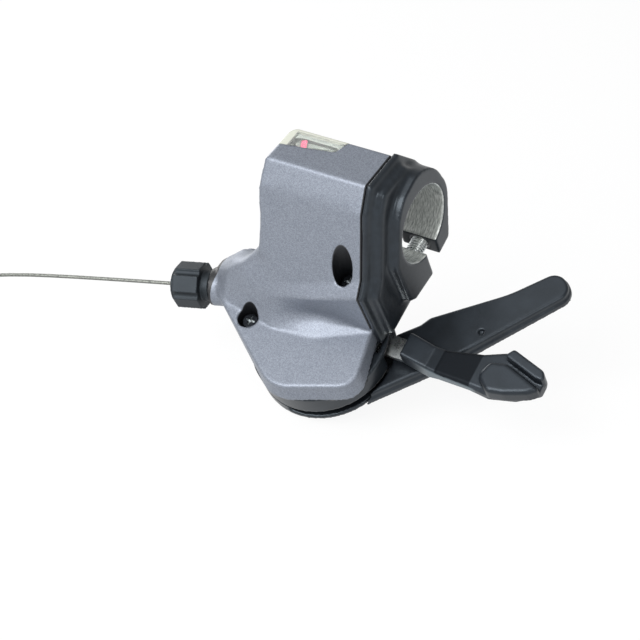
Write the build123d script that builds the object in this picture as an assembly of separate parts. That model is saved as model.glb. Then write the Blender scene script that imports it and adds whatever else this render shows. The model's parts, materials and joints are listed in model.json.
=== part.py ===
from build123d import *
import os
from math import cos, radians, sin, tan

os.makedirs("parts", exist_ok=True)

# Left-hand two-lever gear shifter for a flat handlebar, in millimetres.
# Origin: centre of the clamp bore. +X runs along the handlebar to the grip, +Y to the rider, +Z up.

# Handlebar clamp
bar_r = 11.1                # 22.2 mm handlebar
clamp_width = 12.0
saddle_air = 1.1            # air between the bar and the wall behind the cover
saddle_wall = 2.0
slot_angle = -63.0          # direction of the clamp's split, from +Y towards +Z
slot_width = 5.0
bolt_r = 2.5                # M5
bolt_reach = 14.6           # from the bar's centre to the bolt's axis
bolt_head_r = 4.0
bolt_head_height = 4.6
bolt_seat = 7.0             # from the middle of the split to the seat of the head
bolt_tip = 9.5              # from the middle of the split to the bolt's tip
bolt_socket_r = 2.3
bolt_socket_depth = 3.0
bolt_play = 0.02
# Outside of the ring and its jaws, in Y and Z, and the radius at each corner
ring_points = [
    (15.3, -11.0), (13.2, 6.4), (5.2, 15.5), (-3.9, 17.3), (-11.6, 12.1), (-13.6, 6.7), (-13.6, -8.0),
    (-6.0, -21.8), (-2.5, -22.7), (6.6, -19.3), (10.2, -14.3),
]
ring_radii = [1.2, 12, 14, 8.5, 8, 6, 4, 1, 2, 1.2, 1.2]

# Pod: everything on the lever axis lies in a frame tilted about X, with z = 0 on the cover's outer face
pod_tilt = 30.0
shaft_at = (-18.5, -17.4, -32.0)
pod_r = 20.3                # round black case
wall = 1.8                  # silver cover
case_wall = 1.6             # black case and lid
seam = 0.1                  # gap between fixed covers
cover_skirt = 6.0           # depth of the silver cover's side wall
case_bottom = -13.2
case_deck = 1.3             # flat deck under the shoulder
lid_bottom = -17.2
flange_x = -1.5             # plane where cover and bracket meet
flange_thick = 1.9
step_thick = 2.8            # second step of the bracket, towards the ring
step_inset = 2.4
back_y = 17.6               # back edge of the pod
saddle_left = -29.0         # left end of the wall behind the cover
saddle_angles = (107.0, 218.0)   # stretch of the wall round the bar, from +Y towards +Z
leg_thick = 2.0
foot_left = -9.5            # foot that carries the mechanism, in the pod frame
foot_front = 8.4
foot_thick = 2.8

# Levels along the main shaft
plate_top = -2.0
plate_thick = 1.2
drum_gap = 0.3
drum_height = 3.1
ratchet_thick = 1.2
lever_gap = 0.25            # axial play between moving plates
pawl_spring_room = 0.8      # between the ratchet and the release lever
release_thick = 1.2
main_thick = 1.6
main_top = -13.5

# Shaft and running fits
shaft_r = 3.0
shaft_end_r = 2.4
fit = 0.05                  # radial clearance of a running fit
nut_size = 4.2
nut_height = 1.8
washer_r = 4.6
washer_thick = 0.5
arbor_r = 4.4

# Winder
drum_room = 6.73            # from the pod's edge in to the cable's centre line on the drum
cable_r = 0.55              # 1.1 mm shift wire
groove_play = 0.12
drum_rim = 0.9              # rim beyond the cable
drum_web = 1.0
drum_hub_r = 4.6
spring_pocket_r = 10.0
ratchet_room = 7.9          # from the pod's edge in to the ratchet's tips
tooth_depth = 1.0
ratchet_pitch = 12.0        # degrees from tooth to tooth
ratchet_teeth = [(0.0, 6), (140.0, 5)]    # first tooth and number of teeth, for each pawl
wrap_turn = 125.0           # degrees of cable on the drum
head_r = 2.0
head_length = 2.6

# Springs: flat strip
strip = 0.45
strip_height = 1.3
spring_turns = 3

# Pawls
pawl_pin_r = 1.0
pawl_play = 0.15
hold_pawl_room = 3.7        # from the pod's edge in to the pawl's pivot
hold_pawl_angle = 52.0
hold_tip_angle = 25.0
drive_pawl_room = 5.3
drive_pawl_angle = 204.0
drive_tip_angle = 187.0
pawl_hub_r = 1.9
pawl_tip_r = 0.8
pawl_spring_wire = 0.5
pawl_spring_arm = 3.4

# Main lever
main_angle = 47.4           # direction of the blade from +X
main_disc_air = 0.3         # between the lever's disc and the lid
main_reach = 70.4
paddle_front = 20.3         # offsets of the blade's edges from the shaft
paddle_tip_front = 16.4
paddle_bend = 32.0          # where the front edge starts to draw in
paddle_bend_r = 90.0
paddle_tip_back = 7.0
paddle_tip_r = 4.5
paddle_waist = 54.0
paddle_waist_back = 7.3
paddle_waist_r = 30.0
paddle_root = 30.8
paddle_root_back = 3.8
paddle_root_r = 3.0
paddle_notch = 27.4
paddle_notch_back = 4.7
paddle_notch_r = 2.0
paddle_hole = (42.3, -15.8)
lever_air = 0.4
main_arm_reach = 44.0
main_arm_offset = 11.0
main_arm_width = 7.0
main_spring_r = 9.5
paddle_top = -13.05
paddle_thick = 4.2
paddle_step = 0.5           # the upper half stands in from the lower by this
paddle_edge_r = 0.7
paddle_hole_depth = 1.0
paddle_hole_r = 0.9

# Release lever
release_arm_width = 6.4
release_arm_y = 5.8         # middle of the arm
release_hub_r = 7.0
release_arm_reach = 34.0
release_spring_r = 8.4
# Sections of the moulded end: x, then its extent in y and in z, and the size of its bevels
knob_sections = [
    (25.0, 2.5, 10.2, -10.4, -5.0, 0.5),
    (34.0, 1.0, 8.5, -10.8, -5.0, 0.6),
    (36.6, 1.3, 9.3, -11.0, -6.8, 0.7),
    (46.5, 1.4, 12.2, -11.6, -7.8, 0.9),
    (52.5, 0.8, 14.9, -12.2, -7.6, 1.2),
    (60.0, 2.6, 13.0, -12.3, -7.4, 1.4),
    (66.2, 6.0, 10.6, -11.2, -7.6, 1.0),
]
# Thumb pad and the ridge behind it: corners, the radius at each corner, then their levels
thumb_pad = [(48.6, 4.4), (50.2, 9.2), (55.0, 10.2), (67.0, 6.0), (64.0, 3.6), (58.0, 1.3), (53.0, 0.4)]
thumb_pad_radii = [2.5, 2.0, 4.0, 0.8, 4.0, 8.0, 2.0]
thumb_pad_edge_r = 1.3
knob_ridge = [(53.2, 12.2), (55.0, 14.9), (65.6, 11.4), (67.2, 8.4), (64.0, 8.6)]
knob_ridge_radii = [0.8, 1.0, 2.2, 0.9, 6.0]
knob_ridge_edge_r = 0.6
knob_base = -9.4            # inside the moulded end
knob_top = -4.7

# Barrel adjuster
seat_x = -38.4              # middle of the seat, on the cable's line
seat_tilt = 14.6            # turn of the cable's line from -X towards the front
boss_r = 5.6
boss_length = 13.0
barrel_r = 3.0
barrel_bore_r = 1.3
barrel_inside = 10.0
seat_gap = 0.3
collar_r = 4.5
collar_length = 2.4
knob_r = 7.2
knob_flat = 6.5             # from the axis to a flat
knob_length = 8.0
knob_notch = 1.1
end_disc_r = 5.2
end_disc_length = 1.2
click_ring_r = 4.2
click_ring_thick = 1.0

# Screws
screw_head_r = 2.6
screw_head_height = 1.8
screw_edge_r = 0.6
screw_r = 1.4
screw_play = 0.2
counterbore_r = 3.2
recess_width = 0.7
recess_length = 3.0
recess_depth = 1.0
neck_screw = (11.0, 9.6)
neck_screw_seat = 13.0
neck_screw_length = 9.0
shoulder_screw = (-20.0, -3.8)
shoulder_screw_seat = -3.6
shoulder_screw_length = 7.0
post_r = 3.0
plate_screws = [(-5.0, 12.0), (4.0, 12.5)]
lid_screw_angles = (75.0, 165.0)
lid_screw_out = 2.3         # from the pod's edge out to the screw
ear_r = 2.9
lid_screw_length = 8.0
lever_window = (4.0, 55.0)       # opening of the case for the release lever
lid_rim = (62.0, 265.0)
plate_back = 15.0

# Indicator, measured down from the neck's top face
window_thick = 0.7
window_corner_r = 2.6
indicator_roof = 1.1        # the cover is this thin over the indicator
window_ledge = 0.7
window_left = -34.0
window_right = -14.2
window_front = 6.2
window_corner = (-16.4, 8.8)
window_radii = [0.8, 2.0, 0, 0]
dial_post_r = 0.9
dial_posts_at = [(-28.2, 3.6), (-13.9, 3.6), (-13.7, 9.6)]
needle_depth = 1.25
needle_thick = 0.4
dial_depth = 1.8
dial_thick = 0.8
dial_at = (-21.1, 6.6)
dial_size = (16.6, 8.4)
dial_corner_r = 1.0
dial_room = 0.9             # the pocket reaches past the dial by this
needle_pin_r = 0.7
needle_hub_r = 1.5
needle_width = 1.6
needle_length = 6.8
needle_at = (-24.8, 4.6)
needle_angle = 113.0

# Cable outside the object: points of the free tail after the adjuster, then a tied coil
tail_points = [
    (-95.5, -20.1, -39.4),
    (-124.5, -26.4, -44.0),
    (-146.1, -30.1, -50.9),
    (-161.4, -31.7, -55.3),
]
bend_share = 0.45           # share of the shorter side that a bend takes up
coil_r = 10.0
coil_side = 5.6
tie_angle = 40.0
tie_width = 16.0            # degrees of the coil
tie_thick = 0.5

drum_top = plate_top - plate_thick - drum_gap
drum_bottom = drum_top - drum_height
ratchet_bottom = drum_bottom - ratchet_thick
release_top = ratchet_bottom - pawl_spring_room
release_bottom = release_top - release_thick
arbor_top = release_bottom - lever_gap
arbor_bottom = main_top + lever_gap
main_bottom = main_top - main_thick
cable_z = (drum_top + drum_bottom) / 2
saddle_r = bar_r + saddle_air + saddle_wall
drum_pitch_r = pod_r - drum_room
ratchet_r = pod_r - ratchet_room
land_r = ratchet_r - tooth_depth
main_disc_r = pod_r - case_wall - main_disc_air
lid_screw_r = pod_r + lid_screw_out

pod = Plane(
    origin=shaft_at,
    x_dir=(1, 0, 0),
    z_dir=(0, -sin(radians(pod_tilt)), cos(radians(pod_tilt))),
)
parts = {}


def slab(face, low, high):
    return extrude(Pos(0, 0, low) * face, amount=high - low)


def disc(radius, low, high, at=(0, 0)):
    return slab(Pos(*at) * Circle(radius), low, high)


def ring(inner, outer, low, high, at=(0, 0)):
    return slab(Pos(*at) * (Circle(outer) - Circle(inner)), low, high)


def rounded(points, radii):
    return make_face(FilletPolyline(*points, radius=radii, close=True))


def polar(radius, angle):
    return (radius * cos(radians(angle)), radius * sin(radians(angle)))


def wedge(radius, start, end):
    far = 3 * radius
    corners = [polar(far, start + (end - start) * step / 4) for step in range(5)]
    return make_face(Polyline((0, 0), *corners, close=True))


def across_x(face, x_from, x_to):
    return extrude(Plane.YZ.offset(x_from) * face, amount=x_to - x_from)


def keep_pod(name, solid):
    parts[name] = pod.location * solid


def flat_spiral(inner, outer, low):
    # Half circles about two centres in turn make the spiral
    halves = 2 * spring_turns
    grow = (outer - inner - strip) / halves
    radius = inner + strip / 2
    centre = 0.0
    arcs = []
    for half in range(halves):
        side = 1 if half % 2 == 0 else -1
        arcs.append(CenterArc((centre, 0), radius, 0 if side > 0 else 180, 180))
        end = centre - side * radius
        radius = radius + grow
        centre = end + side * radius
    return slab(trace(arcs, line_width=strip), low, low + strip_height)


def screw(at, seat, length):
    top = seat + screw_head_height
    head = disc(screw_head_r, seat, top, at)
    head = fillet(head.edges().group_by(Axis.Z)[-1], screw_edge_r)
    cross = Rectangle(recess_length, recess_width) + Rectangle(recess_width, recess_length)
    return head + disc(screw_r, seat - length, seat, at) - slab(Pos(*at) * cross, top - recess_depth, top + 1)


def local_point(y, z):
    # A point of the pod frame's y-z plane, seen in the row's Y-Z plane
    place = pod.location * Pos(0, y, z)
    return (place.position.Y, place.position.Z)


# Main cover

# Corners of the cover's outer face, their radii, and the two front corners at the foot of its side wall
pod_corners = [
    (17.0, back_y), (17.0, 4.1), (20.5, -13.3), (-2.8, -21.8), (-38.3, 3.6), (-39.6, 8.6), (-32.0, back_y),
]
pod_radii = [0, 0, 6.0, 11.0, 1.0, 1.5, 4.0]
skirt_corners = [(21.4, -13.9), (-2.9, -22.9)]
pod_outline = rounded(pod_corners, pod_radii)
skirt_outline = rounded(pod_corners[:2] + skirt_corners + pod_corners[4:], pod_radii)

# Cross-sections of the cover's lower front, in the pod frame, from the bracket to the adjuster.
# Each holds x, the crease on the shield, the foot of the wall, the rim, the neck's start and the neck's face.
neck_sections = [
    (17.0, 4.0, (4.1, 0.1), (4.2, 16.9), (8.5, 20.5), (14.0, 30.0)),
    (1.5, -3.5, (3.0, 2.8), (1.8, 12.3), (5.5, 15.3), (11.0, 25.0)),
    (-11.5, -4.6, (-1.8, 3.3), (1.0, 8.6), (3.5, 11.8), (11.5, 26.0)),
]
shoulder_sections = [
    (-23.2, -2.4, (0.0, 3.4), (2.4, 8.2), (5.5, 13.2), (8.5, 12.4), (14.0, 7.0)),
    (-30.0, -1.4, (0.8, 2.2), (2.8, 4.8), (5.2, 7.0), (8.6, 7.4), (14.0, 5.0)),
    (-38.3, 4.6, (5.4, -1.2), (6.8, -0.9), (8.4, -0.8), (9.4, -0.9), (11.5, -1.4)),
]
crease_draft = 0.2
buried = 2.5                # how far the sections reach into the flat pod
low_wall = 2.34             # the cover's wall in its lower front, along y
shoulder_dip = 2.2          # the pod's top face falls away by this towards the adjuster
shoulder_dip_from = -31.0
neck_profile = [(-4.6, 21.4), (-18.4, 17.6), (-20.6, 10.0), (-20.3, -9.0), (-10.0, -9.0), (-4.6, 8.0)]
neck_top_left = (-33.3, 17.5)
neck_low_left = (-35.6, -9.0)
neck_edge_r = 1.2
neck_root = 4.0             # the neck's wall goes on below its floor by this, into the shoulder
shield_edge_r = 0.9


def cover_section(x, crease, foot, rim, brow, face, top=None, inset=0.0, floor=-buried):
    back = back_y if x > seat_x + wall else face[0] + wall
    top = top or (back, face[1])
    front = [(crease - crease_draft, floor), (crease, 0), foot, rim, brow, face]
    points = [(y + inset, z) for y, z in front]
    return Plane.YZ.offset(x) * make_face(Polyline(*points, top, (back, floor), close=True))


def neck_body(inset, right, floor_drop=0.0):
    points = [(y, z if z > 0 or y > -bar_r / 2 else z - floor_drop) for y, z in neck_profile]
    points[2] = neck_profile[2]
    side = offset(make_face(Polyline(*points, close=True)), -inset, kind=Kind.INTERSECTION)
    body = across_x(side, right, right - 3 * clamp_width - 10)
    (x_top, z_top), (x_low, z_low) = neck_top_left, neck_low_left
    lean = (x_top - x_low) / (z_top - z_low)
    reach = 2 * z_top
    corners = [(x_top + inset + lean * (z - z_top), z) for z in (reach, -reach)]
    front = make_face(Polyline((right + 1, reach), *corners, (right + 1, -reach), close=True))
    return body & extrude(Plane.XZ * front, amount=3 * reach, both=True)


# The cable's line, through the middle of the adjuster's seat
cable_dir = Vector(-cos(radians(seat_tilt)), -sin(radians(seat_tilt)), 0)
seat_y = drum_pitch_r / cos(radians(seat_tilt)) + seat_x * tan(radians(seat_tilt))
seat_plane = Plane(origin=(seat_x, seat_y, cable_z), x_dir=(0, 0, 1), z_dir=cable_dir)


def along_cable(face, start, end):
    return extrude(seat_plane.offset(start) * face, amount=end - start)


# The neck's top face carries the indicator: x along X, y up the slope, z out of the face
slope = Vector(0, neck_profile[0][0] - neck_profile[1][0], neck_profile[0][1] - neck_profile[1][1])
top_plane = Plane(
    origin=(0, *neck_profile[1]),
    x_dir=(1, 0, 0),
    z_dir=Vector(1, 0, 0).cross(slope),
)
slope_length = slope.length
window_back = slope_length + wall
window_outline = rounded(
    [(window_left, window_front), window_corner, (window_right, window_back), (window_left, window_back)],
    window_radii,
)


def on_top(face, depth, thick):
    return extrude(top_plane.offset(-depth - thick) * face, amount=thick)


neck_solid = neck_body(0, flange_x, floor_drop=neck_root)
back_corner = neck_solid.edges().filter_by(lambda edge: edge.center().X < flange_x - clamp_width)
back_corner = back_corner.filter_by(lambda edge: abs(edge.center().Y - neck_profile[0][0]) < seam)
neck_solid = fillet(back_corner.sort_by(Axis.X)[0], window_corner_r)
neck_solid = fillet(neck_solid.edges().filter_by(Axis.X).sort_by(Axis.Z)[-2:], neck_edge_r)
flat_pod = slab(pod_outline, -cover_skirt, 0)
shield_edges = flat_pod.edges().group_by(Axis.Z)[-1].filter_by(lambda edge: edge.center().Y < back_y - 1)
flat_pod = fillet(shield_edges, shield_edge_r)
skirt = loft([Pos(0, 0, -cover_skirt) * skirt_outline, Pos(0, 0, -wall) * pod_outline], ruled=True)
flat_pod = flat_pod + skirt
dip = [(shoulder_dip_from, 0), (seat_x - wall, -shoulder_dip), (seat_x - wall, wall)]
flat_pod = flat_pod - extrude(Plane.XZ * make_face(Polyline(*dip, close=True)), amount=2 * pod_r, both=True)
lower_front = loft([cover_section(*section) for section in neck_sections + shoulder_sections], ruled=True)
boss = along_cable(Circle(boss_r), -boss_length, 0)
neck_tube = disc(counterbore_r + case_wall, neck_screw_seat - wall, 3 * pod_r, neck_screw)
shoulder_tube = disc(counterbore_r + case_wall, -cover_skirt, 0, shoulder_screw)
cover_skin = neck_solid + pod.location * (flat_pod + lower_front + boss)

pod_hollow = slab(offset(pod_outline, -wall, kind=Kind.INTERSECTION), -cover_skirt - 1, -wall)
pod_hollow = pod_hollow - boss - shoulder_tube
low_hollow = loft(
    [
        cover_section(x + end, crease + wall, foot, rim, brow, face, inset=low_wall, floor=plate_top - seam)
        for end, (x, crease, foot, rim, brow, face) in zip((1, 0, -1.5), neck_sections)
    ],
    ruled=True,
)
neck_hollow = neck_body(wall, flange_x + 1, floor_drop=3 * wall) + pod.location * low_hollow
neck_hollow = neck_hollow - pod.location * neck_tube
bar_space = across_x(Circle(saddle_r + seam), flange_x + 1, 4 * saddle_left)
cover_bores = (
    disc(counterbore_r, neck_screw_seat, 3 * pod_r, neck_screw)
    + disc(counterbore_r, shoulder_screw_seat, pod_r, shoulder_screw)
    + disc(screw_r + screw_play, 0, pod_r, neck_screw)
    + disc(screw_r + screw_play, -pod_r, 0, shoulder_screw)
    + along_cable(Circle(barrel_r + fit), -boss_length - 1, 1)
    + along_cable(Circle(click_ring_r + screw_play), -click_ring_thick - seam, 1)
)
window_seat = on_top(offset(window_outline, seam, kind=Kind.INTERSECTION), -1, 1 + window_thick)
behind_roof = Rectangle(pod_r, 2 * dial_depth, align=Align.MIN)
behind_roof = Pos(window_left, slope_length - wall - dial_depth) * behind_roof
window_view = offset(window_outline, -window_ledge, kind=Kind.INTERSECTION) - behind_roof
dial_outline = Pos(*dial_at) * RectangleRounded(*dial_size, dial_corner_r)
post_circles = Sketch() + [Pos(*at) * Circle(dial_post_r) for at in dial_posts_at]
dial_posts = on_top(post_circles, indicator_roof / 2, dial_depth - indicator_roof / 2)
main_cover = cover_skin - neck_hollow - bar_space - pod.location * (pod_hollow + cover_bores)
dial_pocket = on_top(offset(dial_outline, dial_room), indicator_roof, dial_depth)
main_cover = main_cover - window_seat - on_top(window_view, -1, 1 + wall + seam) - dial_pocket
parts["main_cover"] = main_cover + dial_posts

# Indicator

parts["indicator_window"] = neck_solid & on_top(window_outline, -1, 1 + window_thick)
pin_hole = Pos(*needle_at) * Circle(needle_pin_r)
parts["indicator_dial"] = on_top(dial_outline - pin_hole, dial_depth, dial_thick)
needle_blade = Pos(needle_length / 2, 0) * Rectangle(needle_length, needle_width)
needle_shape = Circle(needle_hub_r) + Rot(0, 0, needle_angle) * needle_blade - Circle(needle_pin_r + fit)
parts["indicator_needle"] = on_top(Pos(*needle_at) * needle_shape, needle_depth, needle_thick)
pin_head = needle_depth - seam
parts["needle_pin"] = on_top(pin_hole, pin_head, dial_depth + dial_thick - pin_head)

# Clamp bracket: ring, two steps down to the flange, then the wall, leg and foot behind the cover

foot_point, rim_point, brow_point = [local_point(*point) for point in neck_sections[0][2:5]]
leg_front = back_y + seam
leg_back = leg_front + leg_thick
ring_profile = rounded(ring_points, ring_radii)
flange_profile = make_face(
    Polyline(
        *neck_profile[:3],
        brow_point,
        rim_point,
        foot_point,
        local_point(neck_sections[0][2][0], -cover_skirt),
        local_point(leg_back, -cover_skirt),
        *ring_points[-2:],
        *ring_points[:3],
        close=True,
    )
)
step_profile = offset(flange_profile, -step_inset, kind=Kind.INTERSECTION)
flange_end = flange_x + flange_thick
step_end = flange_end + step_thick
behind_cover = make_face(
    Polyline(
        local_point(leg_front, 0),
        local_point(leg_front, neck_screw_seat),
        (neck_profile[0][0] + seam, 0),
        (neck_profile[0][0] + seam, pod_r),
        (pod_r, pod_r),
        (pod_r, -2 * pod_r),
        close=True,
    )
)
saddle_arc = (Circle(saddle_r) - Circle(saddle_r - saddle_wall)) & wedge(saddle_r, *saddle_angles)
foot_right = flange_x - shaft_at[0]
leg_top = neck_sections[0][3][1]
foot_width = foot_right - foot_left
leg = Pos(foot_left, leg_front) * Rectangle(foot_width, leg_thick, align=Align.MIN)
foot = Pos(foot_left, foot_front) * Rectangle(foot_width, leg_back - foot_front, align=Align.MIN)
foot_top = plate_top + foot_thick
post_top = neck_screw_seat - wall
bracket = (
    across_x(flange_profile + ring_profile, flange_x, flange_end)
    + across_x(step_profile + ring_profile, flange_end, step_end)
    + across_x(ring_profile, step_end, clamp_width / 2)
    + across_x(ring_profile & (Circle(saddle_r) + behind_cover), -clamp_width / 2, flange_x)
    + across_x(saddle_arc, saddle_left, flange_x)
)
bracket = bracket + pod.location * (
    slab(leg, plate_top, leg_top)
    + slab(foot, plate_top, foot_top)
    + disc(post_r, plate_top, post_top, neck_screw)
)
slot_reach = Pos(bar_r, 0) * Rectangle(2 * bar_r, slot_width)
bracket_bores = disc(screw_r + bolt_play, plate_top - 1, post_top + 1, neck_screw)
for at in plate_screws:
    bracket_bores = bracket_bores + disc(screw_r + screw_play, plate_top - 1, foot_top + 1, at)
bolt_plane = Plane(
    origin=(0, *polar(bolt_reach, slot_angle)),
    x_dir=(1, 0, 0),
    z_dir=(0, *polar(1, slot_angle + 90)),
)


def along_bolt(face, start, end):
    return extrude(bolt_plane.offset(start) * face, amount=end - start)


parts["clamp_bracket"] = (
    bracket
    - across_x(Circle(bar_r), saddle_left - 1, clamp_width)
    - across_x(Circle(saddle_r - saddle_wall), saddle_left - 1, -clamp_width / 2)
    - across_x(Rot(0, 0, slot_angle) * slot_reach, -clamp_width, clamp_width)
    - along_bolt(Circle(bolt_r + bolt_play), -bolt_tip - 1, 0)
    - along_bolt(Circle(bolt_r + screw_play), 0, bolt_seat)
    - along_bolt(Circle(bolt_head_r + screw_play), bolt_seat, 4 * bolt_seat)
    - pod.location * bracket_bores
)
bolt_top = bolt_seat + bolt_head_height
parts["clamp_bolt"] = (
    along_bolt(Circle(bolt_r), -bolt_tip, bolt_seat)
    + along_bolt(Circle(bolt_head_r), bolt_seat, bolt_top)
    - along_bolt(RegularPolygon(bolt_socket_r, 6), bolt_top - bolt_socket_depth, bolt_top + 1)
)

# Case and lid

deck_top = -cover_skirt - seam
deck_bottom = deck_top - case_deck
case_inner_r = pod_r - case_wall
case_back = Pos(0, back_y - wall) * Rectangle(4 * pod_r, 2 * pod_r, align=(Align.CENTER, Align.MIN))
deck_hole = (Circle(case_inner_r) & offset(pod_outline, -wall - seam, kind=Kind.INTERSECTION)) - case_back
deck = pod_outline + (Circle(pod_r) - wedge(pod_r, *lever_window)) - deck_hole
ears = [polar(lid_screw_r, angle) for angle in lid_screw_angles]
tub = ring(case_inner_r, pod_r, case_bottom, deck_top)
tub = tub - slab(wedge(pod_r, *lever_window), case_bottom - 1, deck_bottom)
case = tub + slab(deck, deck_bottom, deck_top) + disc(post_r, case_bottom, deck_top, shoulder_screw)
for ear in ears:
    case = case + disc(ear_r, case_bottom, deck_bottom, ear)
    case = case - disc(screw_r + bolt_play, case_bottom - 1, deck_bottom - wall, ear)
case = case - along_cable(Circle(boss_r + seam), -boss_length - seam, barrel_inside)
keep_pod("base_cover", case - disc(screw_r + bolt_play, case_bottom + 1, deck_top + 1, shoulder_screw))

lid_floor = lid_bottom + case_wall
lid_top = case_bottom - seam
lid = disc(pod_r, lid_bottom, lid_floor) + (
    ring(case_inner_r, pod_r, lid_floor, lid_top) & slab(wedge(pod_r, *lid_rim), lid_bottom, lid_top)
)
for ear in ears:
    lid = lid + (disc(ear_r, lid_bottom, lid_top, ear) - disc(case_inner_r, lid_floor, lid_top))
    lid = lid - disc(screw_r + screw_play, lid_bottom - 1, lid_top + 1, ear)
keep_pod("bottom_cover", lid - disc(shaft_end_r + screw_play, lid_bottom - 1, lid_top))

# Screws

keep_pod("cover_screws", Compound([
    screw(neck_screw, neck_screw_seat, neck_screw_length),
    screw(shoulder_screw, shoulder_screw_seat, shoulder_screw_length),
]))
keep_pod("plate_screws", Compound([screw(at, foot_top, foot_thick + plate_thick) for at in plate_screws]))
keep_pod("bottom_screws", Compound([
    Pos(*ear, lid_bottom) * Rot(180, 0, 0) * screw((0, 0), 0, lid_screw_length) for ear in ears
]))

# Mechanism plate and shaft

hold_at = polar(pod_r - hold_pawl_room, hold_pawl_angle)
drive_at = polar(pod_r - drive_pawl_room, drive_pawl_angle)
plate_shape = Circle(drum_hub_r + drum_pitch_r / 2) + Pos(*hold_at) * Circle(2 * pawl_pin_r)
plate_shape = plate_shape + Pos(foot_left, 0) * Rectangle(hold_at[0] - foot_left, plate_back, align=Align.MIN)
plate = slab(plate_shape, plate_top - plate_thick, plate_top)
plate = plate - disc(shaft_r, -pod_r, 0) - disc(pawl_pin_r, -pod_r, 0, hold_at)
for at in plate_screws:
    plate = plate - disc(screw_r + bolt_play, -pod_r, 0, at)
keep_pod("mechanism_plate", plate)
nut_top = lid_bottom - washer_thick
nut_bottom = nut_top - nut_height
keep_pod("main_shaft", disc(shaft_r, lid_floor, plate_top) + disc(shaft_end_r, nut_bottom - seam, lid_floor))
keep_pod("shaft_washer", ring(shaft_end_r + fit, washer_r, nut_top, lid_bottom))
nut_shape = RegularPolygon(nut_size, 6) - Circle(shaft_end_r + bolt_play)
keep_pod("shaft_nut", slab(nut_shape, nut_bottom, nut_top))
keep_pod("spring_arbor", ring(shaft_r + bolt_play, arbor_r, arbor_bottom, arbor_top))

# Winder: drum, ratchet, cable head and spring

drum_r = drum_pitch_r + cable_r + drum_rim
groove_r = drum_pitch_r - cable_r - groove_play
groove_half = cable_r + groove_play
tangent_angle = 90 + seat_tilt
head_angle = tangent_angle - wrap_turn
head_at = polar(drum_pitch_r - drum_rim, head_angle)
head_low = cable_z - head_length / 2
drum = ring(shaft_r + fit, drum_r, drum_bottom, drum_top)
drum = drum - ring(groove_r, drum_r + 1, cable_z - groove_half, cable_z + groove_half)
drum = drum - ring(drum_hub_r, spring_pocket_r, drum_bottom + drum_web, drum_top + 1)
head_high = head_low + head_length
head_pocket = disc(head_r + groove_play, drum_bottom - 1, head_high + groove_play, head_at)
keep_pod("winder_drum", drum - head_pocket)
ratchet = Circle(ratchet_r) - Circle(shaft_r + fit)
for start, teeth in ratchet_teeth:
    for tooth in range(teeth):
        angle = start + tooth * ratchet_pitch
        rise = [polar(ratchet_r + 1, angle), polar(ratchet_r + 1, angle + ratchet_pitch)]
        ratchet = ratchet - make_face(Polyline(polar(land_r, angle), *rise, close=True))
keep_pod("ratchet_plate", slab(ratchet, ratchet_bottom, drum_bottom))
wrap_section = Plane.XZ * Pos(drum_pitch_r, cable_z) * Circle(cable_r)
wrap = Rot(0, 0, head_angle) * revolve(wrap_section, Axis.Z, wrap_turn)
keep_pod("cable_head", wrap + disc(head_r, head_low, head_high, head_at))
spring_low = drum_bottom + drum_web + lever_gap
keep_pod("winder_spring", flat_spiral(drum_hub_r + lever_gap, spring_pocket_r - lever_gap, spring_low))

# Pawls

pawl_top = drum_bottom - pawl_play
pawl_bottom = ratchet_bottom + pawl_play / 2


def pawl(at, tip_angle):
    hub = Pos(*at) * Circle(pawl_hub_r)
    tip = Pos(*polar(ratchet_r + pawl_play + pawl_tip_r, tip_angle)) * Circle(pawl_tip_r)
    body = make_hull(hub.edges() + tip.edges()) - Pos(*at) * Circle(pawl_pin_r + fit)
    return slab(body, pawl_bottom, pawl_top)


def pawl_spring(at, towards):
    coil = Circle(pawl_hub_r) - Circle(pawl_pin_r + fit)
    arm = Pos(0, pawl_hub_r) * Rectangle(pawl_spring_arm, pawl_spring_wire, align=(Align.MIN, Align.MAX))
    shape = Pos(*at) * Rot(0, 0, towards) * (coil + arm)
    return slab(shape, pawl_spring_top - pawl_spring_wire, pawl_spring_top)


pawl_spring_top = pawl_bottom - seam
pin_bottom = pawl_spring_top - pawl_spring_wire - seam
keep_pod("positioning_pawl", pawl(hold_at, hold_tip_angle))
keep_pod("positioning_pawl_pin", disc(pawl_pin_r, pin_bottom, plate_top, hold_at))
keep_pod("positioning_pawl_spring", pawl_spring(hold_at, -90))
keep_pod("winding_pawl", pawl(drive_at, drive_tip_angle))
keep_pod("winding_pawl_pin", disc(pawl_pin_r, main_bottom, pawl_top, drive_at))
keep_pod("winding_pawl_spring", pawl_spring(drive_at, drive_pawl_angle + 180))

# Main lever, in the blade's own directions: x along the blade, -y to its front edge

blade = Rot(0, 0, main_angle)
paddle_shape = rounded(
    [
        (0, -paddle_front),
        (paddle_bend, -paddle_front),
        (main_reach, -paddle_tip_front),
        (main_reach, -paddle_tip_back),
        (paddle_waist, -paddle_waist_back),
        (paddle_root, -paddle_root_back),
        (paddle_notch, -paddle_notch_back),
        (0, -paddle_root_back),
    ],
    [0, paddle_bend_r, paddle_tip_r, paddle_tip_r, paddle_waist_r, paddle_root_r, paddle_notch_r, 0],
)
paddle_bottom = paddle_top - paddle_thick
paddle_middle = (paddle_top + paddle_bottom) / 2
upper_half = slab(offset(paddle_shape, -paddle_step, kind=Kind.INTERSECTION), paddle_middle, paddle_top)
upper_half = fillet(upper_half.edges().group_by(Axis.Z)[-1], paddle_edge_r)
paddle = slab(paddle_shape, paddle_bottom, paddle_middle) + upper_half
paddle = paddle - disc(paddle_hole_r, paddle_top - paddle_hole_depth, paddle_top + 1, paddle_hole)
main_plate = Circle(main_disc_r) - Circle(shaft_r + fit)
main_arm = Rectangle(main_arm_reach, main_arm_width, align=(Align.MIN, Align.CENTER))
main_arm = Pos(0, -main_arm_offset) * main_arm
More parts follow.
